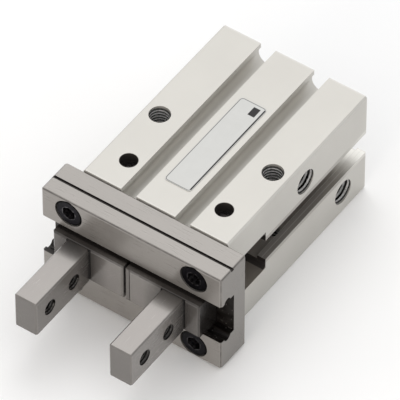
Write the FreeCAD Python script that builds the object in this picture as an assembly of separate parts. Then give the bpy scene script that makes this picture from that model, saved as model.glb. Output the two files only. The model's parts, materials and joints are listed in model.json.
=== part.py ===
import FreeCAD, Part

import math
import os

# Two-finger parallel air gripper, 16 mm bore, double acting, in millimetres.
# +Z is up with the gripper lying on a wide face. The origin is the centre of the rear mounting
# face, on the cylinder axis, so the body runs along -Y and the fingers point along -Y.
# The fingers slide along X, and the modelled pose is closed.

V = FreeCAD.Vector
X_AXIS = V(1, 0, 0)
Y_AXIS = V(0, 1, 0)
Z_AXIS = V(0, 0, 1)

# Body: an anodised aluminium block
BODY_W = 30.6
BODY_L = 42.5
BODY_H = 23.6
BODY_EDGE = 0.35

# Round sensor grooves along both wide faces
GROOVE_X = 5.7
GROOVE_MOUTH = 3.2
GROOVE_R = 2.05
GROOVE_DEPTH = 2.4

# Channel along each narrow side, wider behind its two lips
CHANNEL_H = 4.9
CHANNEL_LIP = 1.75
CHANNEL_INNER_H = 6.5
CHANNEL_DEPTH = 4.8

# Cylinder, rear recess and the wall in front of the cylinder
BORE_R = 8.0
BORE_END_Y = -20.8
PILOT_R = 8.5
PILOT_DEPTH = 1.5
RING_GROOVE_Y = -1.9
RING_GROOVE_W = 1.0
RING_GROOVE_R = 8.7
SEAL_POCKET_R = 4.6
SEAL_POCKET_END_Y = -24.6
ROD_SEAL_Y = -22.4

# Lever cavity, open to both narrow sides and to the guide
CAVITY_Y = -31.2
CAVITY_H = 9.2
CAVITY_CORNER_R = 1.0

# Mounting threads, plain at the thread's major radius
M4_R = 2.0
M4_CORE_R = 1.45
M4_PITCH_X = 24.0
M4_Y = -24.3
M4_DEPTH = 7.0
REAR_M4_DEPTH = 8.0
REAR_M4_X = 10.6
REAR_M4_Z = 7.95

# Air ports on the +X side
PORT_R = 2.5
PORT_DEPTH = 5.2
PORT_Z = 6.7
OPEN_PORT_Y = -7.0
CLOSE_PORT_Y = -19.0
PORT_DUCT_R = 0.75
PORT_DUCT_Z = 5.6

# Guide: a steel block bolted to the front of the body
GUIDE_W = 38.0
GUIDE_T = 7.5
GUIDE_H = 23.0
GUIDE_EDGE = 0.35
SLOT_H = 9.2
SLOT_DEPTH = 3.9
MARK_GROOVE_W = 0.6
MARK_GROOVE_DEPTH = 0.25
MARK_GROOVE_FROM_FRONT = 3.45
LEVER_WINDOW_X = (6.4, 13.8)
LEVER_WINDOW_H = 5.2

# M3 cap screws holding the guide, and two dowels locating it
SCREW_X = 13.2
SCREW_Z = 8.4
SCREW_R = 1.5
SCREW_HEAD_R = 2.75
SCREW_HEAD_H = 3.0
SCREW_HOLE_R = 1.7
COUNTERBORE_R = 2.85
COUNTERBORE_DEPTH = 3.1
SCREW_TIP_Y = -38.9
HEX_FLATS = 2.5
HEX_DEPTH = 1.4
DOWEL_Z = 8.0
DOWEL_R = 1.0

# Levers and the shafts they swing on
PIVOT_X = 10.1
PIVOT_Y = -36.3
SHAFT_R = 1.5
SHAFT_RECESS = 2.0
SHAFT_HOLE_MOUTH_R = 1.68
LEVER_OUT = 10.9
LEVER_TIP_R = 1.6
LEVER_HUB_R = 3.0
LEVER_HUB_H = 8.8
LEVER_ARM_H = 4.6
LEVER_BORE_R = SHAFT_R + 0.03
HOOK_Z = (1.5, 3.9)
HOOK_HALF_W = 2.85
HOOK_REACH = 1.8

# Fingers and their travel, each one outward from the closed pose
TRAVEL = 3.0
BASE_X = (0.6, 15.5)
BASE_H = 8.9
BASE_FRONT_H = 8.0
BASE_PROUD = 1.65
LAP_X = -0.1
LAP_BACK = 0.25
FINGER_X = (7.65, 12.35)
FINGER_TIP_Y = -67.3
FINGER_EDGE = 0.3
M3_R = 1.5
M3_PITCH = 7.0
M3_FROM_TIP = 4.0
ROOT_RELIEF_R = 0.2

# Linear ball guides between each finger base and the slot walls
BALL_R = 0.9
BALL_GAP = 0.02
BALL_PITCH = 1.85
BALL_COUNT = 6
BALL_Y = -48.1
RACE_X = (1.7, 14.6)

# Piston and rod
PISTON_R = 7.95
NOSE_R = 5.4
NOSE_L = 1.7
MAGNET_FLOOR_R = 6.0
SEAL_FLOOR_R = 6.3
SPIGOT_R = 2.2
ROD_SHOULDER_Y = -30.9
ROD_R = 3.0
ROD_GAP = 0.05
TONGUE_H = 2.6
TONGUE_W = 4.4
PIN_R = 1.0
ROLLER_R = 1.8
CAP_Y = (-2.95, -5.6)
BUMPER_T = 0.6
END_GAP = 0.1

# Name plate on the middle strip of the upper wide face
LABEL_X = (-2.6, 2.9)
LABEL_Y = (-36.4, -12.7)
LABEL_T = 0.12

# Worked out from the sizes above
SIDE_X = BODY_W / 2
FACE_Z = BODY_H / 2
FRONT_Y = -BODY_L
GUIDE_FRONT_Y = FRONT_Y - GUIDE_T
SLOT_Y = GUIDE_FRONT_Y + SLOT_DEPTH
SWING = math.asin(TRAVEL / 2 / LEVER_OUT)
STROKE = 2 * PIVOT_X * math.tan(SWING)
PIN_Y = PIVOT_Y + STROKE / 2
BALL_Z = BASE_H / 2
RACE_R = BALL_R + BALL_GAP
PISTON_REAR_Y = CAP_Y[1] - BUMPER_T - END_GAP
PISTON_FRONT_Y = BORE_END_Y + BUMPER_T + END_GAP + STROKE
MAGNET_Y = (PISTON_REAR_Y - 2.5, PISTON_REAR_Y - 4.7)
SEAL_Y = (PISTON_REAR_Y - 6.0, PISTON_REAR_Y - 8.0)


def box(x, y, z):
    """Box between pairs of coordinates, each pair in either order."""
    low = V(min(x), min(y), min(z))
    size = V(max(x), max(y), max(z)) - low
    return Part.makeBox(size.x, size.y, size.z, low)


def rod(radius, start, end):
    """Cylinder of one radius from point to point."""
    return Part.makeCylinder(radius, (end - start).Length, start, end - start)


def along_y(radius, y_start, y_end, x=0.0, z=0.0):
    return rod(radius, V(x, y_start, z), V(x, y_end, z))


def along_z(radius, z_start, z_end, x=0.0, y=0.0):
    return rod(radius, V(x, y, z_start), V(x, y, z_end))


def tube_y(inner, outer, y_start, y_end):
    return along_y(outer, y_start, y_end).cut(along_y(inner, y_start, y_end))


def break_edges(solid, size, direction=None, where=None):
    """Chamfer the straight edges along a direction, or those that a test accepts."""
    chosen = []
    for edge in solid.Edges:
        if edge.Curve.TypeId != "Part::GeomLine":
            continue
        run = edge.Vertexes[-1].Point - edge.Vertexes[0].Point
        if direction is not None and run.normalize().cross(direction).Length > 1e-6:
            continue
        if where is None or where(edge.CenterOfMass):
            chosen.append(edge)
    return solid.makeChamfer(size, chosen)


def fillet_x_edges(solid, radius, y):
    """Round the edges along X that lie at one Y."""
    chosen = []
    for edge in solid.Edges:
        run = edge.Vertexes[-1].Point - edge.Vertexes[0].Point
        if run.cross(X_AXIS).Length < 1e-6 and abs(edge.CenterOfMass.y - y) < 1e-6:
            chosen.append(edge)
    return solid.makeFillet(radius, chosen)


def mirrored(shape):
    """Copy on the other side of the YZ plane."""
    return shape.mirror(V(0, 0, 0), X_AXIS)


def four_corners():
    """Signs of X and Z for the four guide screws."""
    return [(sx, sz) for sx in (-1, 1) for sz in (-1, 1)]


def save(name, *solids):
    shape = solids[0] if len(solids) == 1 else Part.makeCompound(list(solids))
    shape.exportStep("parts/" + name + ".step")


# ---- body and what is fixed in it -------------------------------------------------------------


def sensor_groove(sx, sz):
    """Round groove with a narrower mouth, cut along the whole body."""
    past = 1.0
    centre_z = sz * (FACE_Z - GROOVE_DEPTH)
    mouth_x = (sx * GROOVE_X - GROOVE_MOUTH / 2, sx * GROOVE_X + GROOVE_MOUTH / 2)
    mouth = box(mouth_x, (FRONT_Y - past, past), (centre_z, sz * (FACE_Z + past)))
    return along_y(GROOVE_R, past, FRONT_Y - past, sx * GROOVE_X, centre_z).fuse(mouth)


def side_channel(sx):
    """T-shaped channel: a narrow mouth and a wider room behind it."""
    floor_x = sx * (SIDE_X - CHANNEL_DEPTH)
    along = (FRONT_Y - 1, 1)
    mouth = box((floor_x, sx * (SIDE_X + 1)), along, (-CHANNEL_H / 2, CHANNEL_H / 2))
    inner = (-CHANNEL_INNER_H / 2, CHANNEL_INNER_H / 2)
    return mouth.fuse(box((floor_x, sx * (SIDE_X - CHANNEL_LIP)), along, inner))


def lever_cavity():
    half = CAVITY_H / 2
    room = box((-SIDE_X - 1, SIDE_X + 1), (FRONT_Y - 1, CAVITY_Y), (-half, half))
    return fillet_x_edges(room, CAVITY_CORNER_R, CAVITY_Y)


def cylinder_room():
    """Everything turned about the cylinder axis, from the rear recess to the rod hole."""
    groove_end = RING_GROOVE_Y - RING_GROOVE_W
    room = along_y(PILOT_R, 1, -PILOT_DEPTH)
    room = room.fuse(along_y(BORE_R, 0, BORE_END_Y))
    room = room.fuse(along_y(RING_GROOVE_R, RING_GROOVE_Y, groove_end))
    room = room.fuse(along_y(SEAL_POCKET_R, BORE_END_Y + 1, SEAL_POCKET_END_Y))
    return room.fuse(along_y(ROD_R + ROD_GAP, BORE_END_Y, CAVITY_Y - 1))


def shaft_hole(sx):
    """Hole through the body for one lever shaft, with a wider mouth at each wide face."""
    seat_z = FACE_Z - SHAFT_RECESS
    x = sx * PIVOT_X
    hole = along_z(SHAFT_R, -seat_z, seat_z, x, PIVOT_Y)
    hole = hole.fuse(along_z(SHAFT_HOLE_MOUTH_R, seat_z, FACE_Z + 1, x, PIVOT_Y))
    return hole.fuse(along_z(SHAFT_HOLE_MOUTH_R, -FACE_Z - 1, -seat_z, x, PIVOT_Y))


def through_thread(sx):
    """M4 thread from each wide face, with a plain hole joining the two."""
    x = sx * M4_PITCH_X / 2
    thread_end = FACE_Z - M4_DEPTH
    hole = along_z(M4_CORE_R, -FACE_Z, FACE_Z, x, M4_Y)
    hole = hole.fuse(along_z(M4_R, thread_end, FACE_Z + 1, x, M4_Y))
    return hole.fuse(along_z(M4_R, -FACE_Z - 1, -thread_end, x, M4_Y))


def port(y, z, duct_z):
    """Threaded port with a narrow duct into the cylinder."""
    bottom_x = SIDE_X - PORT_DEPTH
    mouth = rod(PORT_R, V(SIDE_X + 1, y, z), V(bottom_x, y, z))
    duct = rod(PORT_DUCT_R, V(bottom_x + 1, y, duct_z), V(BORE_R / 2, y, duct_z))
    return mouth.fuse(duct)


def make_body():
    block = box((-SIDE_X, SIDE_X), (FRONT_Y, 0), (-FACE_Z, FACE_Z))
    block = break_edges(block, BODY_EDGE, Y_AXIS)
    cuts = [lever_cavity(), cylinder_room()]
    cuts += [sensor_groove(sx, sz) for sx, sz in four_corners()]
    for sx in (-1, 1):
        cuts.append(side_channel(sx))
        cuts.append(shaft_hole(sx))
        cuts.append(through_thread(sx))
        cuts.append(along_y(M4_R, 1, -REAR_M4_DEPTH, sx * REAR_M4_X, sx * REAR_M4_Z))
    cuts.append(port(OPEN_PORT_Y, -PORT_Z, -PORT_DUCT_Z))
    cuts.append(port(CLOSE_PORT_Y, PORT_Z, PORT_DUCT_Z))
    for sx, sz in four_corners():
        cuts.append(along_y(SCREW_R, FRONT_Y - 1, SCREW_TIP_Y + 0.4, sx * SCREW_X, sz * SCREW_Z))
    for sz in (-1, 1):
        cuts.append(along_y(DOWEL_R, FRONT_Y - 1, FRONT_Y + 3.0, 0, sz * DOWEL_Z))
    return block.cut(cuts).removeSplitter()


def make_rear_cap():
    """Disc that closes the cylinder, with a seal groove round its rim and a shallow dish."""
    cap = along_y(BORE_R - 0.03, CAP_Y[0], CAP_Y[1])
    middle = (CAP_Y[0] + CAP_Y[1]) / 2
    rim = tube_y(6.8, BORE_R + 1, middle + 0.65, middle - 0.65)
    dish = along_y(4.0, CAP_Y[0] + 1, CAP_Y[0] - 0.5)
    edge = Part.makeCone(BORE_R + 0.4, BORE_R - 0.4, 0.8, V(0, CAP_Y[0] + 0.4, 0), -Y_AXIS)
    bevel = tube_y(1.0, BORE_R + 1, CAP_Y[0] + 0.4, CAP_Y[0] - 0.4).cut(edge)
    return cap.cut([rim, dish, bevel])


def make_cap_o_ring():
    middle = (CAP_Y[0] + CAP_Y[1]) / 2
    return Part.makeTorus(7.4, 0.58, V(0, middle, 0), Y_AXIS)


def make_cap_retaining_ring():
    """Internal ring with a gap at the top and two lugs with plier holes."""
    start = RING_GROOVE_Y - 0.05
    end = start - 0.9
    lug_angle = math.radians(17)
    ring = tube_y(7.3, RING_GROOVE_R - 0.1, start, end)
    ring = ring.cut(box((-1.5, 1.5), (start, end), (5, 10)))
    for sx in (-1, 1):
        x = sx * 6.9 * math.sin(lug_angle)
        z = 6.9 * math.cos(lug_angle)
        ring = ring.fuse(along_y(1.25, start, end, x, z))
    for sx in (-1, 1):
        x = sx * 6.9 * math.sin(lug_angle)
        z = 6.9 * math.cos(lug_angle)
        ring = ring.cut(along_y(0.5, start, end, x, z))
    return ring.common(along_y(RING_GROOVE_R - 0.1, start, end)).removeSplitter()


def make_rod_seal():
    """Lip seal round the rod, with its open side towards the cylinder."""
    seal = tube_y(ROD_R + 0.02, SEAL_POCKET_R, ROD_SEAL_Y, SEAL_POCKET_END_Y)
    lip_gap = tube_y(ROD_R + 0.45, SEAL_POCKET_R - 0.45, ROD_SEAL_Y, ROD_SEAL_Y - 1.0)
    return seal.cut(lip_gap)


def make_rod_seal_retainer():
    return tube_y(ROD_R + 0.15, SEAL_POCKET_R, BORE_END_Y, ROD_SEAL_Y)


def bumper(inner, outer, y_start, y_end):
    """Rubber ring with rounded shoulders on its free side."""
    ring = tube_y(inner, outer, y_start, y_end)
    rims = [e for e in ring.Edges if e.Closed and abs(e.CenterOfMass.y - y_end) < 1e-6]
    return ring.makeFillet(0.2, rims)


def make_guide():
    block = box((-GUIDE_W / 2, GUIDE_W / 2), (GUIDE_FRONT_Y, FRONT_Y), (-GUIDE_H / 2, GUIDE_H / 2))
    block = break_edges(block, GUIDE_EDGE)
    past = GUIDE_W / 2 + 1
    cuts = [box((-past, past), (GUIDE_FRONT_Y - 1, SLOT_Y), (-SLOT_H / 2, SLOT_H / 2))]
    mark_y = GUIDE_FRONT_Y + MARK_GROOVE_FROM_FRONT
    mark_span = (mark_y - MARK_GROOVE_W / 2, mark_y + MARK_GROOVE_W / 2)
    for sz in (-1, 1):
        race_z = sz * BALL_Z
        cuts.append(rod(RACE_R, V(-past, BALL_Y, race_z), V(past, BALL_Y, race_z)))
        mark_z = (sz * (GUIDE_H / 2 - MARK_GROOVE_DEPTH), sz * (GUIDE_H / 2 + 1))
        cuts.append(box((-past, past), mark_span, mark_z))
        cuts.append(along_y(DOWEL_R, FRONT_Y + 1, FRONT_Y - 2.6, 0, sz * DOWEL_Z))
    for sx in (-1, 1):
        x = [sx * value for value in LEVER_WINDOW_X]
        half = LEVER_WINDOW_H / 2
        cuts.append(box(x, (SLOT_Y - 1, FRONT_Y + 1), (-half, half)))
    for sx, sz in four_corners():
        x = sx * SCREW_X
        z = sz * SCREW_Z
        bottom_y = GUIDE_FRONT_Y + COUNTERBORE_DEPTH
        cuts.append(along_y(COUNTERBORE_R, GUIDE_FRONT_Y - 1, bottom_y, x, z))
        cuts.append(along_y(SCREW_HOLE_R, GUIDE_FRONT_Y, FRONT_Y + 1, x, z))
    return block.cut(cuts).removeSplitter()


def cap_screw(x, z):
    """M3 socket head cap screw seated in its counterbore."""
    seat_y = GUIDE_FRONT_Y + COUNTERBORE_DEPTH
    top_y = seat_y - SCREW_HEAD_H
    head = along_y(SCREW_HEAD_R, seat_y, top_y, x, z)
    rim = [e for e in head.Edges if e.Closed and abs(e.CenterOfMass.y - top_y) < 1e-6]
    head = head.makeFillet(0.3, rim)
    corner = HEX_FLATS / math.sqrt(3)
    points = []
    for i in range(7):
        angle = math.radians(60 * i + 30)
        points.append(V(x + corner * math.cos(angle), top_y - 1, z + corner * math.sin(angle)))
    socket = Part.Face(Part.makePolygon(points)).extrude(V(0, HEX_DEPTH + 1, 0))
    shank = along_y(SCREW_R, seat_y, SCREW_TIP_Y, x, z)
    return head.fuse(shank).cut(socket).removeSplitter()


def lever_shaft(sx):
    end_z = FACE_Z - SHAFT_RECESS
    shaft = along_z(SHAFT_R, -end_z, end_z, sx * PIVOT_X, PIVOT_Y)
    rims = [e for e in shaft.Edges if e.Closed and abs(abs(e.CenterOfMass.z) - end_z) < 1e-6]
    return shaft.makeChamfer(0.2, rims)


def dowel(sz):
    return along_y(DOWEL_R, FRONT_Y - 2.5, FRONT_Y + 2.9, 0, sz * DOWEL_Z)


def make_label():
    plate = box(LABEL_X, LABEL_Y, (FACE_Z, FACE_Z + LABEL_T))
    upright = [e for e in plate.Edges if abs(e.BoundBox.ZLength - LABEL_T) < 1e-6]
    return plate.makeFillet(0.6, upright)


# ---- piston and rod ---------------------------------------------------------------------------


def make_piston():
    """Piston with narrower noses, a magnet groove and a seal groove, bored for the rod."""
    piston = along_y(NOSE_R, PISTON_REAR_Y, PISTON_FRONT_Y)
    land = along_y(PISTON_R, PISTON_REAR_Y - NOSE_L, PISTON_FRONT_Y + NOSE_L)
    magnet = tube_y(MAGNET_FLOOR_R, PISTON_R + 1, MAGNET_Y[0], MAGNET_Y[1])
    seal = tube_y(SEAL_FLOOR_R, PISTON_R + 1, SEAL_Y[0], SEAL_Y[1])
    rod_hole = along_y(SPIGOT_R, PISTON_REAR_Y, PISTON_FRONT_Y)
    return piston.fuse(land).cut([magnet, seal, rod_hole]).removeSplitter()


def make_piston_seal():
    """Ring with a groove round its outside, leaving two lips on the bore."""
    seal = tube_y(SEAL_FLOOR_R, BORE_R - 0.02, SEAL_Y[0], SEAL_Y[1])
    middle = (SEAL_Y[0] + SEAL_Y[1]) / 2
    return seal.cut(tube_y(7.3, BORE_R, middle + 0.45, middle - 0.45))


def make_piston_rod():
    """Rod with a thin rear spigot and a flat front tongue drilled for the cross pin."""
    shank = along_y(SPIGOT_R, PISTON_REAR_Y - 0.2, PISTON_FRONT_Y)
    shank = shank.fuse(along_y(ROD_R, PISTON_FRONT_Y, ROD_SHOULDER_Y))
    half = TONGUE_W / 2
    tongue = box((-half, half), (ROD_SHOULDER_Y, PIN_Y), (-TONGUE_H / 2, TONGUE_H / 2))
    tongue = tongue.fuse(along_z(half, -TONGUE_H / 2, TONGUE_H / 2, 0, PIN_Y))
    hole = along_z(PIN_R, -TONGUE_H, TONGUE_H, 0, PIN_Y)
    return shank.fuse(tongue).cut(hole).removeSplitter()


def make_rod_pin():
    return along_z(PIN_R, -HOOK_Z[1], HOOK_Z[1], 0, PIN_Y)


def rod_roller(sz):
    outer = along_z(ROLLER_R, sz * HOOK_Z[0], sz * HOOK_Z[1], 0, PIN_Y)
    return outer.cut(along_z(PIN_R, sz * HOOK_Z[0], sz * HOOK_Z[1], 0, PIN_Y))


# ---- levers -----------------------------------------------------------------------------------


def plate(points, z_start, z_end):
    """Flat plate with a closed outline of straight runs."""
    outline = [V(x, y, z_start) for x, y in points + points[:1]]
    return Part.Face(Part.makePolygon(outline)).extrude(V(0, 0, z_end - z_start))


def make_right_lever():
    """Bell crank about the origin in its middle pose, then swung shut and moved to its shaft."""
    half = LEVER_HUB_H / 2
    hub = along_z(LEVER_HUB_R, -half, half)
    arm_z = LEVER_ARM_H / 2
    wide = LEVER_HUB_R - 0.6
    narrow = LEVER_TIP_R - 0.4
    outline = [(-wide, 0), (wide, 0), (narrow, -LEVER_OUT), (-narrow, -LEVER_OUT)]
    arm = plate(outline, -arm_z, arm_z)
    tip = along_z(LEVER_TIP_R, -arm_z, arm_z, 0, -LEVER_OUT)
    reach = PIVOT_X + HOOK_REACH
    hook_w = HOOK_HALF_W
    outline = [(0, LEVER_HUB_R), (0, -LEVER_HUB_R), (-reach, -hook_w), (-reach, hook_w)]
    hook = plate(outline, HOOK_Z[0], HOOK_Z[1])
    hook = break_edges(hook, 0.7, Z_AXIS, lambda p: p.x < 1 - reach)
    slot_half = ROLLER_R + 0.05
    slot_start = 2.6 - PIVOT_X
    slot = box((slot_start, -reach - 1), (-slot_half, slot_half), HOOK_Z)
    bore = along_z(LEVER_BORE_R, -half, half)
    lever = hub.fuse([arm, tip, hook]).cut([slot, bore]).removeSplitter()
    lever.rotate(V(0, 0, 0), Z_AXIS, -math.degrees(SWING))
    lever.translate(V(PIVOT_X, PIVOT_Y, 0))
    return lever


def make_left_lever():
    """The same crank turned over, so that its hook passes under the other one."""
    lever = mirrored(make_right_lever())
    return lever.mirror(V(0, 0, 0), Z_AXIS)


# ---- fingers and balls ------------------------------------------------------------------------


def make_right_finger():
    """Slide with ball races and a lever pocket, and the finger that stands on its front."""
    base_y = SLOT_Y - 0.05
    step_y = GUIDE_FRONT_Y + 0.4
    front_y = GUIDE_FRONT_Y - BASE_PROUD
    slide = box(BASE_X, (base_y, step_y), (-BASE_H / 2, BASE_H / 2))
    front = box(BASE_X, (step_y, front_y), (-BASE_FRONT_H / 2, BASE_FRONT_H / 2))
    front = break_edges(front, 0.35, None, lambda p: abs(p.y - front_y) < 1e-6)
    finger = box(FINGER_X, (front_y, FINGER_TIP_Y), (-BASE_FRONT_H / 2, BASE_FRONT_H / 2))
    finger = break_edges(finger, FINGER_EDGE, None, lambda p: p.y < front_y - 0.5)
    solid = slide.fuse([front, finger])
    cuts = []
    for sz in (-1, 1):
        cuts.append(rod(RACE_R, V(RACE_X[0], BALL_Y, sz * BALL_Z), V(RACE_X[1], BALL_Y, sz * BALL_Z)))
    pocket_half = LEVER_TIP_R + 0.03
    pocket_x = PIVOT_X - TRAVEL / 2
    pocket_end = PIVOT_Y - LEVER_OUT - LEVER_TIP_R - 0.3
    pocket_z = (-LEVER_WINDOW_H / 2, LEVER_WINDOW_H / 2)
    cuts.append(box((pocket_x - pocket_half, pocket_x + pocket_half), (base_y + 1, pocket_end), pocket_z))
    for x in FINGER_X:
        cuts.append(along_z(ROOT_RELIEF_R, -BASE_H, BASE_H, x, front_y))
    for i in range(2):
        y = FINGER_TIP_Y + M3_FROM_TIP + i * M3_PITCH
        cuts.append(rod(M3_R, V(FINGER_X[0] - 1, y, 0), V(FINGER_X[1] + 1, y, 0)))
    return solid.cut(cuts).removeSplitter()


def right_lap():
    """Low step on the right base that narrows the gap between the two bases."""
    lap_y = GUIDE_FRONT_Y - BASE_PROUD + LAP_BACK
    return box((LAP_X, BASE_X[0]), (SLOT_Y - 0.05, lap_y), (-BASE_FRONT_H / 2, BASE_FRONT_H / 2))


def right_balls():
    """Upper and lower ball rows at their place for the closed pose."""
    middle = sum(RACE_X) / 2 + TRAVEL / 4
    balls = []
    for sz in (-1, 1):
        for i in range(BALL_COUNT):
            x = middle + (i - (BALL_COUNT - 1) / 2) * BALL_PITCH
            balls.append(Part.makeSphere(BALL_R, V(x, BALL_Y, sz * BALL_Z)))
    return balls


def main():
    os.makedirs("parts", exist_ok=True)
    save("body", make_body())
    save("rear_cap", make_rear_cap())
    save("cap_o_ring", make_cap_o_ring())
    save("cap_retaining_ring", make_cap_retaining_ring())
    save("rod_seal", make_rod_seal())
    save("rod_seal_retainer", make_rod_seal_retainer())
    save("rear_bumper", bumper(2.6, 5.0, CAP_Y[1], CAP_Y[1] - BUMPER_T))
    save("front_bumper", bumper(3.6, 5.2, BORE_END_Y, BORE_END_Y + BUMPER_T))
    save("guide", make_guide())
    save("guide_screws", *[cap_screw(sx * SCREW_X, sz * SCREW_Z) for sx, sz in four_corners()])
    save("guide_dowels", dowel(-1), dowel(1))
    save("lever_shafts", lever_shaft(-1), lever_shaft(1))
    save("label", make_label())
    save("piston", make_piston())
    save("piston_rod", make_piston_rod())
    save("magnet_ring", tube_y(MAGNET_FLOOR_R, 7.7, MAGNET_Y[0], MAGNET_Y[1]))
    save("piston_seal", make_piston_seal())
    save("rod_pin", make_rod_pin())
    save("rod_rollers", rod_roller(-1), rod_roller(1))
    save("lever_right", make_right_lever())
    save("lever_left", make_left_lever())
    finger = make_right_finger()
    save("finger_right", finger.fuse(right_lap()).removeSplitter())
    save("finger_left", mirrored(finger))
    balls = right_balls()
    save("balls_right", *balls)
    save("balls_left", *[mirrored(ball) for ball in balls])
    print("swing", round(2 * math.degrees(SWING), 4), "deg; piston stroke", round(STROKE, 4), "mm")


main()
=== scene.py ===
import json
import math

import bmesh
import bpy
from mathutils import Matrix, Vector


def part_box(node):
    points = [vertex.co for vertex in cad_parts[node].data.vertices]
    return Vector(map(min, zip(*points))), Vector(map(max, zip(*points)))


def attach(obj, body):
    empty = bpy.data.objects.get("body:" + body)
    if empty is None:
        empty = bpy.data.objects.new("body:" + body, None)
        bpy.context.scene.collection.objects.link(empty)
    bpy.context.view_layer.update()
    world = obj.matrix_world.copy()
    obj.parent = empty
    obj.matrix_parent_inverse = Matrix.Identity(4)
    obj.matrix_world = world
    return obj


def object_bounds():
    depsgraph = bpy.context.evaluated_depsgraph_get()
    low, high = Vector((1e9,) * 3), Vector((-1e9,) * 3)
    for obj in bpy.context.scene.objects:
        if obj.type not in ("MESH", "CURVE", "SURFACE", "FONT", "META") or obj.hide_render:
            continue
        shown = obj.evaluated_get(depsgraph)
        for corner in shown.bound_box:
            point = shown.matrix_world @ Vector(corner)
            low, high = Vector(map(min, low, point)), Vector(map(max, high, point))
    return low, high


MM = 0.001
FAR = 1.0  # beyond every solid, for the open sides of a box

# Camera: the view the gripper is shown from
AZIMUTH = 35.0
ELEVATION = 47.7
DISTANCE = 1.10
FRAME_WIDTH = 70.1 * MM
AIM_ALONG = -25.0 * MM
AIM_RIGHT = -2.4 * MM
AIM_UP = -1.5 * MM

# Floor: its radius in metres, and its gap under the gripper
FLOOR_R = 6.0
FLOOR_GAP = 0.02 * MM

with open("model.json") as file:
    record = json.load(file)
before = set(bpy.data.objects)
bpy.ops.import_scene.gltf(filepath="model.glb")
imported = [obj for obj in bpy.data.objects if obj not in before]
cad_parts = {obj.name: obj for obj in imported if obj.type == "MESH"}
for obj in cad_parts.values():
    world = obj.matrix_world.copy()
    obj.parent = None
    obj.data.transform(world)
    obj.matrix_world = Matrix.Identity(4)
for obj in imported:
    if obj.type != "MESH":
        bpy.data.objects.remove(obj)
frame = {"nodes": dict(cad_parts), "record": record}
size_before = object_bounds()
nodes = frame["nodes"]
mounts = {mount["name"]: mount for mount in frame["record"]["mounts"]}

guide_low, guide_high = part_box("guide")
body_low, body_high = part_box("body")
label_low, label_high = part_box("label")
finger_low, finger_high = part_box("finger_right")
shaft_low, shaft_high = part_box("lever_shafts")
screw_low, screw_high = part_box("guide_screws")

# Body: lever cavity, shaft holes, side channels, sensor grooves, cylinder end and rear threads
CAVITY_HALF_H = 4.6 * MM
CAVITY_Y = body_low.y + 11.3 * MM
SHAFT_R = 1.5 * MM
SHAFT_MOUTH_R = 1.68 * MM
CHANNEL_HALF_H = 3.25 * MM
CHANNEL_FLOOR_X = body_high.x - 4.8 * MM
LIP_THICKNESS = 1.75 * MM
LIP_HALF_GAP = 2.45 * MM
GROOVE_X = 5.7 * MM
GROOVE_R = 2.05 * MM
GROOVE_CENTRE_DEPTH = 2.4 * MM
RING_GROOVE_R = 8.7 * MM
RECESS_DEPTH = 1.5 * MM
REAR_DIAGONAL = Vector((0.8, 0.0, 0.6))

# Guide: finger slot, lever windows, ball races and marking groove
SLOT_HALF_H = 4.6 * MM
SLOT_FLOOR_Y = guide_low.y + 3.9 * MM
LEVER_REACH_X = 12.0 * MM
RACE_Y = guide_low.y + 1.9 * MM
RACE_Z = 4.45 * MM
RACE_R = 0.92 * MM
MARK_Y = guide_low.y + 3.45 * MM
MARK_HALF_W = 0.3 * MM
MARK_DEPTH = 0.25 * MM
GUIDE_END_X = guide_high.x - 0.05 * MM

# Guide screws: head and hexagon socket
SCREW_HEAD_R = 2.75 * MM
SOCKET_RIM_R = 1.36 * MM
SOCKET_DEPTH = 1.4 * MM

# Fingers: section, base, and the relief grooves at the finger's root
FINGER_MIDDLE_X = 10.0 * MM
FINGER_THICKNESS = 4.7 * MM
FINGER_HEIGHT = 8.0 * MM
FINGER_HALF = Vector((FINGER_THICKNESS, 0, FINGER_HEIGHT)) / 2
BASE_FRONT_Y = guide_low.y - 1.65 * MM
BASE_END_X = finger_high.x - 0.05 * MM
RELIEF_R = 0.2 * MM
RELIEF_REACH = Vector((RELIEF_R, RELIEF_R, FINGER_HEIGHT / 2 + RELIEF_R))
BEHIND = Vector((0, 5 * MM, 0))  # takes a box's rear edges inside the next solid

# Label: corners, border, rule and dark patch
LABEL_CORNER_R = 0.6 * MM
BORDER_INSET = 0.14 * MM
RULE_LOW = (label_high.x - 0.34 * MM, label_low.y + 0.5 * MM, -FAR)
RULE_HIGH = (label_high.x - 0.08 * MM, label_high.y - 0.5 * MM, FAR)
PATCH_LOW = (label_high.x - 2.3 * MM, label_high.y - 2.9 * MM, -FAR)
PATCH_HIGH = (label_high.x - 0.95 * MM, label_high.y - 0.8 * MM, FAR)

# Threads: pitch by major radius and depth by mount in millimetres, crest height in pitches
PITCH = {1.5: 0.5, 2.0: 0.7, 2.5: 0.8}
BODY_THREAD_DEPTH = {"upper_bolts": 7.0, "lower_bolts": 7.0, "rear_bolts": 8.0}
CREST_HEIGHT = 0.32
ROOT_GAP = 0.02 * MM
BACK_OVERLAP = 0.01 * MM
LEAD_IN = 0.03 * MM
STEPS_PER_TURN = 36
CREST_SIDE = 2  # which side of a thread's section is its crest

# Tones that several looks share: painted shade for edges and ends, and grease that also serves as
# painted shade in creases and holes
GREASE_AND_SHADE = (0.012, 0.010, 0.009)
EDGE_SHADE = (0.03, 0.027, 0.025)
END_SHADE = (0.05, 0.047, 0.044)


def hole_mouths(mount):
    """Centres of the two holes of a pattern, on a line or across a pitch circle."""
    centre = Vector(mount["pos_m"])
    axis = Vector(mount["axis"])
    dims = mount["dims"]
    if "pcd_mm" in dims:
        along = REAR_DIAGONAL
        half = dims["pcd_mm"] * MM / 2
    else:
        along = Vector((0, 1, 0)) if abs(axis.x) > 0.5 else Vector((1, 0, 0))
        half = dims["spacing_x_mm"] * MM / 2
    return [centre + along * half * sign for sign in (-1, 1)]


# ---- node helpers -------------------------------------------------------------------------------


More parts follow.
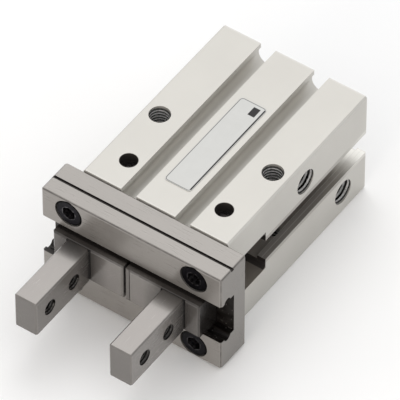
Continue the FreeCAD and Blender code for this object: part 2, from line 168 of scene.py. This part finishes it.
class Look:
    """A material with plain values, and short ways to wire nodes over them."""

    def __init__(self, name, colour, metallic, roughness):
        self.material = bpy.data.materials.new(name)
        self.material.use_nodes = True
        self.tree = self.material.node_tree
        self.shader = self.tree.nodes["Principled BSDF"]
        self.set("Base Color", (*colour, 1.0))
        self.set("Metallic", metallic)
        self.set("Roughness", roughness)
        self.place = self.tree.nodes.new("ShaderNodeTexCoord").outputs["Object"]

    def set(self, socket, value):
        """Link a node's output to the shader's socket, or set a plain value on it."""
        target = self.shader.inputs[socket]
        if isinstance(value, bpy.types.NodeSocket):
            self.tree.links.new(value, target)
        else:
            target.default_value = value

    def node(self, kind, inputs, **settings):
        """A node of a kind, with its settings, and its inputs linked or set."""
        made = self.tree.nodes.new("ShaderNode" + kind)
        for key, value in settings.items():
            setattr(made, key, value)
        for key, value in inputs.items():
            if isinstance(value, bpy.types.NodeSocket):
                self.tree.links.new(value, made.inputs[key])
            else:
                made.inputs[key].default_value = value
        return made

    def math(self, operation, a, b=0.0, clamp=False):
        return self.node("Math", {0: a, 1: b}, operation=operation, use_clamp=clamp).outputs[0]

    def vector(self, operation, a, b=(0, 0, 0)):
        return self.node("VectorMath", {0: a, 1: b}, operation=operation).outputs[0]

    def length(self, value):
        return self.node("VectorMath", {0: value}, operation="LENGTH").outputs["Value"]

    def ramp(self, value, start, end, low, high):
        """From low to high as a value goes from start to end."""
        inputs = {"Value": value, "From Min": start, "From Max": end, "To Min": low, "To Max": high}
        return self.node("MapRange", inputs, clamp=True).outputs[0]

    def inverse(self, mask):
        return self.math("SUBTRACT", 1.0, mask)

    def noise(self, size, stretch=(1, 1, 1), detail=3.0, roughness=0.55):
        """Noise with features of a size in metres, longer along an axis by its stretch."""
        scale = tuple(1 / (size * longer) for longer in stretch)
        mapped = self.node("Mapping", {"Vector": self.place, "Scale": scale}).outputs[0]
        inputs = {"Vector": mapped, "Scale": 1.0, "Detail": detail, "Roughness": roughness}
        return self.node("TexNoise", inputs).outputs["Fac"]

    def spots(self, size, threshold, soft):
        """Sparse specks: 1 at the middle of a few cells, 0 elsewhere."""
        grain = self.noise(size, detail=1.0)
        return self.ramp(grain, threshold, threshold + soft, 0.0, 1.0)

    def mix(self, factor, a, b):
        """One tone or another, by a factor from 0 to 1."""
        made = self.node("Mix", {"Factor": factor}, data_type="RGBA")
        for index, value in ((6, a), (7, b)):
            if isinstance(value, bpy.types.NodeSocket):
                self.tree.links.new(value, made.inputs[index])
            else:
                made.inputs[index].default_value = (*value, 1.0)
        return made.outputs[2]

    def blend(self, value, start, end, a, b):
        """From one tone to another as a value goes from start to end."""
        return self.mix(self.ramp(value, start, end, 0.0, 1.0), a, b)

    def over(self, colour, mask, strength, tone):
        """A colour with a tone laid over it, as far as a mask and a strength allow."""
        return self.mix(self.math("MULTIPLY", mask, strength), colour, tone)

    def bump(self, height, distance, strength, under=None):
        """A surface raised by a height, over another raised surface if there is one."""
        inputs = {"Height": height, "Distance": distance, "Strength": strength}
        if under is not None:
            inputs["Normal"] = under
        return self.node("Bump", inputs).outputs[0]

    def mirrored(self):
        """The place with all its coordinates made positive."""
        return self.vector("ABSOLUTE", self.place)

    def reach(self, place, centre, across):
        """Distance of a place from a centre, counted only on the axes that are 1 in across."""
        moved = self.vector("SUBTRACT", place, centre)
        return self.length(self.vector("MULTIPLY", moved, across))

    def in_bore(self, centre, axis, radius):
        """1 inside a round hole and on its wall, and 0 outside it."""
        across = tuple(0.0 if abs(part) > 0.5 else 1.0 for part in axis)
        reach = self.reach(self.place, centre, across)
        return self.ramp(reach, radius + 0.02 * MM, radius + 0.06 * MM, 1.0, 0.0)

    def past_box(self, low, high, place):
        """How far a place lies past a box's sides on each axis, negative between them."""
        moved = self.vector("SUBTRACT", place, (low + high) / 2)
        past = self.vector("SUBTRACT", self.vector("ABSOLUTE", moved), (high - low) / 2)
        return self.node("SeparateXYZ", {0: past}).outputs

    def in_box(self, low, high, soft=0.05 * MM, mirrored=False):
        """1 inside a box and 0 outside it, with a soft edge, and in its mirror images if mirrored."""
        place = self.mirrored() if mirrored else self.place
        x, y, z = self.past_box(Vector(low), Vector(high), place)
        most = self.math("MAXIMUM", self.math("MAXIMUM", x, y), z)
        return self.ramp(most, 0.0, soft, 1.0, 0.0)

    def along_edges(self, low, high, width):
        """1 on the edges of a box and 0 away from them, broken up by a little noise."""
        x, y, z = self.past_box(low, high, self.place)
        most = self.math("MAXIMUM", self.math("MAXIMUM", x, y), z)
        least = self.math("MINIMUM", self.math("MINIMUM", x, y), z)
        total = self.math("ADD", self.math("ADD", x, y), z)
        second = self.math("SUBTRACT", self.math("SUBTRACT", total, most), least)
        edge = self.ramp(second, -width, -width * 0.6, 0.0, 1.0)
        on_box = self.ramp(most, 0.05 * MM, 0.10 * MM, 1.0, 0.0)
        broken = self.ramp(self.noise(1.1 * MM), 0.3, 0.6, 0.55, 1.0)
        return self.math("MULTIPLY", self.math("MULTIPLY", edge, on_box), broken)


# ---- body ---------------------------------------------------------------------------------------


def channel_tones(look, colour):
    """Side channels: painted shade behind their lips, fading out towards the rear, and a painted
    highlight at the rear end.
    """
    skin = 0.02 * MM
    half_h = CHANNEL_HALF_H + skin
    low = (CHANNEL_FLOOR_X - skin, 0.06 * MM - body_high.y, -half_h)
    high = (body_high.x - skin, FAR, half_h)
    channel = look.in_box(low, high, mirrored=True)
    along = look.node("SeparateXYZ", {0: look.place}).outputs["Y"]
    # painted shade inside the channels, fading out towards the open rear
    painted_channel_shade = look.ramp(along, body_high.y - 9 * MM, body_high.y - 1 * MM, 0.62, 0.0)
    colour = look.over(colour, channel, painted_channel_shade, (0.13, 0.108, 0.094))
    # painted highlight at the rear end of the channels
    painted_end_highlight = look.ramp(along, body_high.y - 7 * MM, body_high.y - 2 * MM, 0.0, 0.6)
    return look.over(colour, channel, painted_end_highlight, (0.85, 0.84, 0.80))


def lip_highlight_lines(look, colour):
    """Painted highlights: fine bright lines along the lower lip of each side channel."""
    for inset, strength in ((LIP_THICKNESS, 0.8), (LIP_THICKNESS / 2, 0.45)):
        for x in (inset - body_high.x, body_high.x - inset):
            low = (x - 0.06 * MM, -FAR, -LIP_HALF_GAP - 0.04 * MM)
            high = (x + 0.06 * MM, FAR, -LIP_HALF_GAP + 0.05 * MM)
            line = look.in_box(low, high, 0.02 * MM)
            colour = look.over(colour, line, strength, (0.60, 0.58, 0.55))
    return colour


def groove_painted_light(look, colour):
    """Sensor grooves painted a little paler than the faces they run along: painted light that lifts the
    shade inside them.
    """
    reach = GROOVE_R + 0.15 * MM
    low = (GROOVE_X - reach, 0.05 * MM - body_high.y, body_high.z - GROOVE_CENTRE_DEPTH - reach)
    high = (GROOVE_X + reach, FAR, body_high.z - 0.05 * MM)
    grooves = look.in_box(low, high, mirrored=True)
    return look.over(colour, grooves, 0.35, (0.75, 0.73, 0.69))


def cavity_tones(look, colour):
    """Oil and painted shade on the walls of the lever cavity and the cylinder, and a lighter cavity
    floor painted as lit.
    """
    skin = 0.03 * MM
    front_y = body_low.y - 1 * MM
    # oil and painted shade on the walls of the cavity and the cylinder bore
    cavity = look.in_box(
        (-FAR, front_y, -CAVITY_HALF_H - skin),
        (FAR, CAVITY_Y + skin, CAVITY_HALF_H + skin),
    )
    recess_y = body_high.y - RECESS_DEPTH - 0.1 * MM
    recess = look.in_box((-FAR, recess_y, -FAR), (FAR, FAR, FAR))
    cylinder = look.in_bore((0, 0, 0), (0, 1, 0), RING_GROOVE_R + 0.02 * MM)
    cylinder = look.math("SUBTRACT", cylinder, recess, clamp=True)
    oil_and_shade = look.math("MAXIMUM", cavity, cylinder)
    colour = look.over(colour, oil_and_shade, 0.92, (0.035, 0.026, 0.022))
    # painted light on the cavity floor, lighter than the shaded walls
    bottom = look.in_box(
        (-FAR, front_y, -CAVITY_HALF_H - 0.1 * MM),
        (FAR, CAVITY_Y - 0.1 * MM, -CAVITY_HALF_H + 0.05 * MM),
    )
    return look.over(colour, bottom, 0.85, (0.36, 0.32, 0.28))


def shaft_mouths(look, colour):
    """Oil and painted shade round the two lever shafts, in the mouths of their holes."""
    shaft_x = shaft_high.x - SHAFT_R
    shaft_y = (shaft_low.y + shaft_high.y) / 2
    for x in (-shaft_x, shaft_x):
        # oil and painted shade in the hole's mouth
        mouth = look.in_bore((x, shaft_y, 0), (0, 0, 1), SHAFT_MOUTH_R)
        colour = look.over(colour, mouth, 0.92, (0.035, 0.028, 0.025))
    return colour


def anodised_aluminium():
    """Satin clear anodising over faint extrusion lines, with wear on its edges, painted shade and
    highlights in its side channels, grooves lifted by painted light, and oil with painted shade inside.
    """
    look = Look("anodised_aluminium", (0.43, 0.42, 0.41), metallic=0.6, roughness=0.42)
    cloud = look.noise(9 * MM, detail=2.0)
    fine = look.noise(0.12 * MM, detail=2.0)
    lines = look.noise(0.10 * MM, stretch=(1, 90, 1), detail=2.0)
    colour = look.blend(cloud, 0.3, 0.7, (0.510, 0.496, 0.464), (0.545, 0.531, 0.497))
    colour = channel_tones(look, colour)
    colour = lip_highlight_lines(look, colour)
    colour = groove_painted_light(look, colour)
    wear = look.along_edges(body_low, body_high, 0.3 * MM)
    colour = look.over(colour, wear, 0.35, (0.70, 0.69, 0.67))
    colour = cavity_tones(look, colour)
    colour = shaft_mouths(look, colour)
    uneven = look.math("ADD", fine, look.math("MULTIPLY", cloud, 0.5))
    look.set("Base Color", colour)
    look.set("Roughness", look.ramp(uneven, 0.4, 1.1, 0.36, 0.50))
    look.set("Normal", look.bump(fine, 0.003 * MM, 0.5, look.bump(lines, 0.004 * MM, 0.4)))
    return look.material


# ---- guide and fingers --------------------------------------------------------------------------


def ground_steel(name, along, tone, roughness, smoothest, roughest, depth, strength):
    """Surface-ground stainless steel with fine scratches along one axis, and its bare colour."""
    look = Look(name, tone, metallic=0.6, roughness=roughness)
    stretch = tuple(60 if axis == along else 1 for axis in range(3))
    lines = look.noise(0.07 * MM, stretch=stretch, roughness=0.7)
    cloud = look.noise(5 * MM, detail=2.0)
    uneven = look.math("ADD", lines, look.math("MULTIPLY", cloud, 0.4))
    look.set("Roughness", look.ramp(uneven, 0.4, 1.0, smoothest, roughest))
    look.set("Normal", look.bump(lines, depth, strength))
    light = tuple(part * 1.08 for part in tone)
    dark = tuple(part * 0.93 for part in tone)
    streaks = look.math("ADD", look.math("MULTIPLY", lines, 0.6), look.math("MULTIPLY", cloud, 0.4))
    return look, look.blend(streaks, 0.35, 0.65, dark, light)


def slot_grease_and_shade(look):
    """1 where grease and painted shade lie in the finger slot, its lever windows and its ball races,
    and 0 at specks left bare as painted glints.
    """
    skin = 0.03 * MM
    slot = look.in_box(
        (-GUIDE_END_X, guide_low.y + 0.06 * MM, -SLOT_HALF_H - skin),
        (GUIDE_END_X, SLOT_FLOOR_Y + skin, SLOT_HALF_H + skin),
        0.02 * MM,
    )
    windows = look.in_box(
        (-LEVER_REACH_X, SLOT_FLOOR_Y, -SLOT_HALF_H),
        (LEVER_REACH_X, guide_high.y + 1 * MM, SLOT_HALF_H),
        1.5 * MM,
    )
    reach = RACE_R + 0.08 * MM
    races = look.in_box(
        (-GUIDE_END_X, RACE_Y - reach, -RACE_Z - reach),
        (GUIDE_END_X, RACE_Y + reach, RACE_Z + reach),
        0.02 * MM,
    )
    greasy_and_shaded = look.math("MAXIMUM", look.math("MAXIMUM", slot, windows), races)
    smear = look.ramp(look.noise(1.3 * MM, stretch=(2.5, 1, 1)), 0.35, 0.62, 0.90, 1.0)
    # painted glints: specks where the slot keeps the bare steel tone
    glint_specks = look.spots(0.4 * MM, 0.70, 0.03)
    return look.math("MULTIPLY", greasy_and_shaded, look.math("MULTIPLY", smear, look.inverse(glint_specks)))


def guide_steel():
    """Ground guide block: dark grease and painted shade in its slot, a dark marking groove, and painted
    shade on its edges and ends.
    """
    look, colour = ground_steel(
        "guide_steel", along=0, tone=(0.280, 0.264, 0.248), roughness=0.3,
        smoothest=0.24, roughest=0.38, depth=0.004 * MM, strength=0.35,
    )
    colour = look.mix(slot_grease_and_shade(look), colour, (0.008, 0.006, 0.005))
    mark = look.in_box(
        (-FAR, MARK_Y - MARK_HALF_W - 0.05 * MM, guide_high.z - MARK_DEPTH - 0.15 * MM),
        (FAR, MARK_Y + MARK_HALF_W + 0.05 * MM, guide_high.z - 0.03 * MM),
        0.015 * MM,
    )
    colour = look.mix(mark, colour, (0.010, 0.007, 0.005))
    edges = look.along_edges(guide_low, guide_high + BEHIND, 0.30 * MM)
    colour = look.over(colour, edges, 0.85, EDGE_SHADE)
    between = look.in_box((-GUIDE_END_X, -FAR, -FAR), (GUIDE_END_X, FAR, FAR), 0.02 * MM)
    look.set("Base Color", look.over(colour, look.inverse(between), 0.25, END_SHADE))
    return look.material


def slide_grease_and_shade(look, colour):
    """Grease and painted shade where the fingers run in the slot, on the ledge of their bases and on
    the ends.
    """
    smear = look.ramp(look.noise(0.9 * MM), 0.3, 0.6, 0.82, 1.0)
    slide = look.in_box((-FAR, guide_low.y - 0.3 * MM, -FAR), (FAR, FAR, FAR), 0.7 * MM)
    colour = look.over(colour, slide, smear, (0.018, 0.014, 0.012))
    # painted shade on the ledge of the bases, under the slot's lip
    ledge = look.in_box((-FAR, BASE_FRONT_Y + 0.3 * MM, -FAR), (FAR, FAR, FAR), 0.1 * MM)
    colour = look.over(colour, ledge, look.math("MULTIPLY", smear, 0.65), (0.035, 0.030, 0.026))
    between = look.in_box((-BASE_END_X, -FAR, -FAR), (BASE_END_X, FAR, FAR), 0.02 * MM)
    ends = look.inverse(between)
    return look.over(colour, ends, look.math("MULTIPLY", smear, 0.9), GREASE_AND_SHADE)


def finger_shading(look, colour):
    """Painted shade on the tips, the outer sides and the front edges of the bases."""
    tips = look.in_box((-FAR, -FAR, -FAR), (FAR, finger_low.y + 0.03 * MM, FAR), 0.02 * MM)
    colour = look.over(colour, tips, 0.45, END_SHADE)
    outer_x = FINGER_MIDDLE_X + FINGER_HALF.x + 0.05 * MM
    between = look.in_box((-outer_x, -FAR, -FAR), (outer_x, FAR, FAR), 0.4 * MM)
    colour = look.over(colour, look.inverse(between), 0.4, (0.05, 0.045, 0.042))
    base_low = Vector((-BASE_END_X, BASE_FRONT_Y, -FINGER_HALF.z))
    base_high = Vector((BASE_END_X, 0, FINGER_HALF.z))
    edges = look.along_edges(base_low, base_high, 0.30 * MM)
    near_base = look.in_box(
        (-FAR, BASE_FRONT_Y - 0.05 * MM, -FAR),
        (FAR, BASE_FRONT_Y + 0.4 * MM, FAR),
    )
    return look.over(colour, edges, look.math("MULTIPLY", near_base, 0.85), EDGE_SHADE)


def finger_root(look, colour, side):
    """Painted shade on one finger's rims, at its root and in the two relief grooves beside it."""
    root = Vector((side * FINGER_MIDDLE_X, BASE_FRONT_Y, 0))
    tip = Vector((root.x, finger_low.y, 0))
    rims = look.along_edges(tip - FINGER_HALF, root + FINGER_HALF + BEHIND, 0.28 * MM)
    colour = look.over(colour, rims, 0.5, (0.06, 0.056, 0.052))
    shade = look.in_box(root - FINGER_HALF, root + FINGER_HALF + BEHIND, 4.0 * MM)
    colour = look.over(colour, shade, 0.75, (0.035, 0.030, 0.027))
    for edge_x in (-FINGER_HALF.x, FINGER_HALF.x):
        corner = root + Vector((edge_x, 0, 0))
        relief = look.in_box(corner - RELIEF_REACH, corner + RELIEF_REACH, 0.04 * MM)
        colour = look.over(colour, relief, 0.9, GREASE_AND_SHADE)
    return colour


def finger_holes(look, colour):
    """Painted shade on the walls of the threaded holes, which run along the same lines in both fingers.
    """
    bolts = mounts["finger_right_bolts"]
    for mouth in hole_mouths(bolts):
        hole = look.in_bore(mouth, bolts["axis"], bolts["dims"]["hole_r_mm"] * MM)
        colour = look.mix(hole, colour, GREASE_AND_SHADE)
    return colour


def finger_steel():
    """Ground finger, a little darker in tone than the guide as painted shade, with grease and painted
    shade where it runs in the slot and painted shade on its tips, sides, edges, root and holes.
    """
    look, colour = ground_steel(
        "finger_steel", along=1, tone=(0.250, 0.235, 0.223), roughness=0.22,
        smoothest=0.16, roughest=0.30, depth=0.003 * MM, strength=0.30,
    )
    colour = slide_grease_and_shade(look, colour)
    colour = finger_shading(look, colour)
    for side in (-1, 1):
        colour = finger_root(look, colour, side)
    look.set("Base Color", finger_holes(look, colour))
    return look.material


# ---- other materials ----------------------------------------------------------------------------


def black_oxide():
    """Blackened screw steel, with wear and a painted highlight at the rim of the socket, a painted
    highlight in patches at its bottom and painted shade round the edge of the head.
    """
    look = Look("black_oxide_steel", (0.01, 0.009, 0.011), metallic=1.0, roughness=0.4)
    mottle = look.noise(0.35 * MM)
    colour = look.blend(mottle, 0.35, 0.7, (0.003, 0.003, 0.004), (0.016, 0.014, 0.019))
    centre = (screw_high.x - SCREW_HEAD_R, 0, screw_high.z - SCREW_HEAD_R)
    reach = look.reach(look.mirrored(), centre, (1, 0, 1))
    patchy = look.ramp(look.noise(0.5 * MM), 0.42, 0.58, 0.15, 1.0)
    # wear and a painted highlight round the rim of the socket
    from_rim = look.math("ABSOLUTE", look.math("SUBTRACT", reach, SOCKET_RIM_R))
    rim_wear_and_highlight = look.ramp(from_rim, 0.05 * MM, 0.16 * MM, 0.7, 0.0)
    colour = look.over(colour, rim_wear_and_highlight, patchy, (0.16, 0.155, 0.16))
    # painted highlight in patches on the socket's bottom
    bottom_y = screw_low.y + SOCKET_DEPTH
    bottom = look.in_box(
        (-FAR, bottom_y - 0.05 * MM, -FAR),
        (FAR, bottom_y + 0.05 * MM, FAR),
        0.02 * MM,
    )
    inside = look.ramp(reach, 0.6 * MM, 1.0 * MM, 1.0, 0.0)
    colour = look.over(colour, look.math("MULTIPLY", bottom, inside), patchy, (0.42, 0.41, 0.42))
    # painted shade round the edge of the head
    rim_shade = look.ramp(reach, SCREW_HEAD_R - 0.5 * MM, SCREW_HEAD_R - 0.3 * MM, 0.0, 0.8)
    look.set("Base Color", look.mix(rim_shade, colour, (0.001, 0.001, 0.001)))
    look.set("Roughness", look.ramp(mottle, 0.3, 0.7, 0.32, 0.5))
    look.set("Normal", look.bump(look.noise(0.08 * MM), 0.004 * MM, 0.5))
    return look.material


def turned_metal(name, tone, roughness, ring_width):
    """Turned metal with uneven rings about the axis of the cylinder."""
    look = Look(name, tone, metallic=1.0, roughness=roughness)
    radius = look.reach(look.place, (0, 0, 0), (1, 0, 1))
    inputs = {"W": look.math("MULTIPLY", radius, 1 / ring_width), "Scale": 1.0, "Detail": 4.0}
    rings = look.node("TexNoise", inputs, noise_dimensions="1D").outputs["Fac"]
    cloud = look.noise(1.5 * MM)
    uneven = look.math("ADD", look.math("MULTIPLY", rings, 0.7), look.math("MULTIPLY", cloud, 0.3))
    light = tuple(part * 1.12 for part in tone)
    dark = tuple(part * 0.75 for part in tone)
    look.set("Base Color", look.blend(uneven, 0.35, 0.65, dark, light))
    look.set("Roughness", look.ramp(cloud, 0.3, 0.7, roughness * 0.85, roughness * 1.2))
    look.set("Normal", look.bump(rings, 0.010 * MM, 0.4))
    return look.material


def plain_metal(name, dark, light, smoothest, roughest):
    """Metal with a mottled tone, for pins, balls, levers and rings."""
    look = Look(name, light, metallic=1.0, roughness=smoothest)
    mottle = look.noise(0.4 * MM)
    look.set("Base Color", look.blend(mottle, 0.3, 0.7, dark, light))
    look.set("Roughness", look.ramp(mottle, 0.3, 0.7, smoothest, roughest))
    look.set("Normal", look.bump(look.noise(0.12 * MM), 0.003 * MM, 0.3))
    return look.material


def rubber(name, tone):
    """Matt moulded rubber or bonded magnet with fine specks."""
    look = Look(name, tone, metallic=0.0, roughness=0.55)
    speck = look.noise(0.15 * MM)
    light = tuple(part * 1.8 for part in tone)
    look.set("Base Color", look.blend(speck, 0.35, 0.7, tone, light))
    look.set("Roughness", look.ramp(speck, 0.3, 0.7, 0.45, 0.68))
    look.set("Normal", look.bump(speck, 0.006 * MM, 0.6))
    return look.material


def past_label(look, inset):
    """How far a point lies outside the label's rounded outline, drawn in by an inset."""
    half = (label_high - label_low) / 2 - Vector((1, 1, 0)) * (inset + LABEL_CORNER_R)
    moved = look.vector("SUBTRACT", look.place, (label_low + label_high) / 2)
    past = look.vector("SUBTRACT", look.vector("ABSOLUTE", moved), (half.x, half.y, FAR))
    outside = look.vector("MAXIMUM", past, (0, 0, 0))
    return look.math("SUBTRACT", look.length(outside), LABEL_CORNER_R)


def label_film():
    """Silvery film with a hairline border, a bold rule along one side and a small dark patch."""
    look = Look("label_film", (0.52, 0.52, 0.52), metallic=0.25, roughness=0.45)
    cloud = look.noise(2.5 * MM)
    colour = look.blend(cloud, 0.3, 0.7, (0.505, 0.505, 0.49), (0.535, 0.535, 0.52))
    from_border = look.math("ABSOLUTE", past_label(look, BORDER_INSET))
    border = look.ramp(from_border, 0.05 * MM, 0.09 * MM, 0.75, 0.0)
    rule = look.in_box(RULE_LOW, RULE_HIGH, 0.03 * MM)
    patch = look.in_box(PATCH_LOW, PATCH_HIGH, 0.03 * MM)
    ink = look.math("MAXIMUM", border, look.math("MAXIMUM", rule, patch))
    look.set("Base Color", look.mix(ink, colour, (0.012, 0.011, 0.012)))
    look.set("Roughness", look.ramp(look.math("ADD", cloud, ink), 0.3, 1.4, 0.34, 0.5))
    look.set("Normal", look.bump(look.noise(0.2 * MM), 0.002 * MM, 0.4))
    return look.material


def threaded_metal(name, dark, light):
    """Thread metal under a film of oil, mottled between a dark and a light tone given by the caller."""
    look = Look(name, light, metallic=0.3, roughness=0.3)
    mottle = look.noise(0.5 * MM, detail=2.0)
    look.set("Base Color", look.blend(mottle, 0.35, 0.65, dark, light))
    look.set("Roughness", look.ramp(mottle, 0.3, 0.7, 0.22, 0.40))
    look.set("Normal", look.bump(look.noise(0.06 * MM), 0.002 * MM, 0.4))
    return look.material


def dress(material, *names):
    """Give solids a material through their own slots."""
    for name in names:
        for slot in nodes[name].material_slots:
            slot.material = material


def dress_all():
    """Every solid gets the material it is made of."""
    dress(anodised_aluminium(), "body")
    dress(guide_steel(), "guide")
    dress(finger_steel(), "finger_right", "finger_left")
    dress(black_oxide(), "guide_screws")
    dress(label_film(), "label")
    turned = turned_metal("turned_aluminium", (0.46, 0.46, 0.465), 0.3, 0.3 * MM)
    dress(turned, "rear_cap", "piston", "rod_seal_retainer")
    phosphated = plain_metal("phosphated_steel", (0.05, 0.05, 0.055), (0.11, 0.11, 0.115), 0.4, 0.55)
    dress(phosphated, "cap_retaining_ring")
    hardened = plain_metal("lever_steel", (0.045, 0.038, 0.034), (0.10, 0.088, 0.08), 0.3, 0.45)
    dress(hardened, "lever_right", "lever_left")
    shafts = plain_metal("shaft_steel", (0.04, 0.036, 0.035), (0.12, 0.11, 0.11), 0.22, 0.4)
    dress(shafts, "lever_shafts")
    pins = plain_metal("pin_steel", (0.42, 0.40, 0.39), (0.55, 0.53, 0.52), 0.14, 0.25)
    dress(pins, "piston_rod", "rod_pin", "rod_rollers", "guide_dowels")
    balls = plain_metal("ball_steel", (0.40, 0.39, 0.38), (0.60, 0.59, 0.58), 0.06, 0.12)
    dress(balls, "balls_right", "balls_left")
    dress(rubber("nitrile_rubber", (0.016, 0.016, 0.017)), "cap_o_ring", "rod_seal", "piston_seal")
    dress(rubber("bumper_rubber", (0.02, 0.024, 0.03)), "front_bumper", "rear_bumper")
    dress(rubber("bonded_magnet", (0.035, 0.033, 0.032)), "magnet_ring")


# ---- threads ------------------------------------------------------------------------------------


def add_piece(name, mesh, materials):
    """An object made of a finished mesh and its materials."""
    data = bpy.data.meshes.new(name)
    mesh.to_mesh(data)
    mesh.free()
    for material in materials:
        data.materials.append(material)
    piece = bpy.data.objects.new(name, data)
    bpy.context.collection.objects.link(piece)
    return piece


def thread_section(radius, pitch, fade):
    """Points round a thread's section: radius, and place along the axis in pitches."""
    root = radius - ROOT_GAP
    crest = root + (radius - CREST_HEIGHT * pitch - root) * fade
    back = radius + BACK_OVERLAP
    return (
        (root, -0.5), (root, -0.42), (crest, -0.22), (crest, 0.22),
        (root, 0.42), (root, 0.5), (back, 0.5), (back, -0.5),
    )


def thread_rings(mesh, mouth, out, radius, length):
    """Sections of a right-handed thread from its mouth inwards, with its ends faded out."""
    pitch = PITCH[round(radius / MM, 2)] * MM
    out = Vector(out).normalized()
    side = out.orthogonal().normalized()
    across = out.cross(side)
    steps = int((length - LEAD_IN - pitch) / pitch * STEPS_PER_TURN)
    rings = []
    for step in range(steps + 1):
        turn = step / STEPS_PER_TURN
        turns_left = (steps - step) / STEPS_PER_TURN
        angle = -2 * math.pi * turn
        ray = side * math.cos(angle) + across * math.sin(angle)
        fade = min(1.0, turn * 4 + 0.02, turns_left * 2 + 0.02)
        depth = LEAD_IN + pitch * (turn + 0.5)
        ring = []
        for reach, shift in thread_section(radius, pitch, fade):
            point = Vector(mouth) + ray * reach - out * (depth + pitch * shift)
            ring.append(mesh.verts.new(point))
        rings.append(ring)
    return rings


def thread(name, mouth, out, radius, length, body, metals, slot):
    """A thread lining a plain hole: its first metal on the crests and its second in the roots."""
    mesh = bmesh.new()
    rings = thread_rings(mesh, mouth, out, radius, length)
    for a, b in zip(rings, rings[1:]):
        for j in range(len(a)):
            k = (j + 1) % len(a)
            face = mesh.faces.new((a[j], a[k], b[k], b[j]))
            face.material_index = 0 if j == CREST_SIDE else 1
    mesh.faces.new(rings[0])
    mesh.faces.new(reversed(rings[-1]))
    bmesh.ops.recalc_face_normals(mesh, faces=mesh.faces)
    piece = add_piece(name, mesh, metals)
    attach(piece, body)


def pattern_threads(stem, mount, length, **kind):
    """A thread in each hole of a bolt pattern."""
    radius = mount["dims"]["hole_r_mm"] * MM
    for i, mouth in enumerate(hole_mouths(mount)):
        thread(f"{stem}_thread_{i}", mouth, mount["axis"], radius, length, **kind)


def threads():
    """Threads of the six M4 holes, the two ports and the fingers' four M3 holes."""
    # oil and painted shade in the roots, and cut metal brightened by a painted highlight on the crests
    roots = threaded_metal("thread_root_oil_and_shade", (0.006, 0.005, 0.005), (0.016, 0.014, 0.013))
    aluminium = threaded_metal("aluminium_thread_crest_highlight", (0.74, 0.73, 0.72), (0.93, 0.92, 0.91))
    steel = threaded_metal("steel_thread_crest_highlight", (0.10, 0.095, 0.09), (0.24, 0.23, 0.22))
    in_body = {"body": "housing", "metals": (aluminium, roots), "slot": "anodised_aluminium"}
    for name, depth in BODY_THREAD_DEPTH.items():
        pattern_threads(name, mounts[name], depth * MM, **in_body)
    for name in ("open_port", "close_port"):
        mount = mounts[name]
        dims = mount["dims"]
        mouth = Vector(mount["pos_m"])
        mouth.x = body_high.x
        length = dims["length_mm"] * MM
        thread(f"{name}_thread", mouth, mount["axis"], dims["r_mm"] * MM, length, **in_body)
    for side in ("right", "left"):
        in_finger = {"body": f"{side}_finger", "metals": (steel, roots), "slot": "finger_steel"}
        pattern_threads(f"finger_{side}", mounts[f"finger_{side}_bolts"], FINGER_THICKNESS, **in_finger)


# ---- stage, light and camera --------------------------------------------------------------------


def floor():
    """A wide pale disc just under the gripper."""
    mesh = bmesh.new()
    bmesh.ops.create_circle(mesh, cap_ends=True, radius=FLOOR_R, segments=96)
    bmesh.ops.translate(mesh, verts=mesh.verts, vec=(0, 0, body_low.z - FLOOR_GAP))
    look = Look("pale_floor", (0.93, 0.93, 0.93), metallic=0.0, roughness=0.8)
    cloud = look.noise(30 * MM)
    look.set("Base Color", look.blend(cloud, 0.3, 0.7, (0.925, 0.925, 0.925), (0.94, 0.94, 0.94)))
    piece = add_piece("floor", mesh, [look.material])


def direction(azimuth, elevation):
    """The way from the gripper to something at an azimuth and an elevation in degrees."""
    turn = math.radians(azimuth)
    rise = math.radians(elevation)
    level = math.cos(rise)
    return Vector((math.sin(turn) * level, -math.cos(turn) * level, math.sin(rise)))


def softbox(name, azimuth, elevation, distance, size, power, tone=(1, 1, 1)):
    """A square area light facing the middle of the gripper."""
    centre = (size_before[0] + size_before[1]) / 2
    light = bpy.data.lights.new(name, "AREA")
    light.shape = "SQUARE"
    light.size = size
    light.energy = power
    light.color = tone
    lamp = bpy.data.objects.new(name, light)
    bpy.context.collection.objects.link(lamp)
    away = direction(azimuth, elevation)
    lamp.location = centre + away * distance
    lamp.rotation_euler = away.to_track_quat("Z", "Y").to_euler()


def lights():
    """An even white surround, a soft light above the rear and a low warm one at the front."""
    world = bpy.data.worlds.new("studio")
    bpy.context.scene.world = world
    world.use_nodes = True
    background = world.node_tree.nodes["Background"]
    background.inputs["Color"].default_value = (1.0, 1.0, 1.0, 1.0)
    background.inputs["Strength"].default_value = 0.90
    softbox("key", azimuth=215, elevation=62, distance=1.0, size=0.6, power=2.0)
    softbox("front", azimuth=5, elevation=11, distance=1.2, size=0.4, power=5.0, tone=(1.0, 0.90, 0.80))


def camera():
    """A long lens looking down at the gripper from its front right."""
    centre = Vector((0, AIM_ALONG, 0))
    back = direction(AZIMUTH, ELEVATION)
    turn = back.to_track_quat("Z", "Y")
    aim = centre + turn @ Vector((AIM_RIGHT, AIM_UP, 0))
    data = bpy.data.cameras.new("camera")
    data.sensor_width = 36.0
    data.lens = data.sensor_width * DISTANCE / FRAME_WIDTH
    data.clip_start = 0.05
    data.clip_end = 20.0
    eye = bpy.data.objects.new("camera", data)
    bpy.context.collection.objects.link(eye)
    eye.location = aim + back * DISTANCE
    eye.rotation_mode = "QUATERNION"
    eye.rotation_quaternion = turn
    bpy.context.scene.camera = eye


dress_all()
threads()
floor()
lights()
camera()
bpy.context.scene.view_settings.view_transform = "Standard"
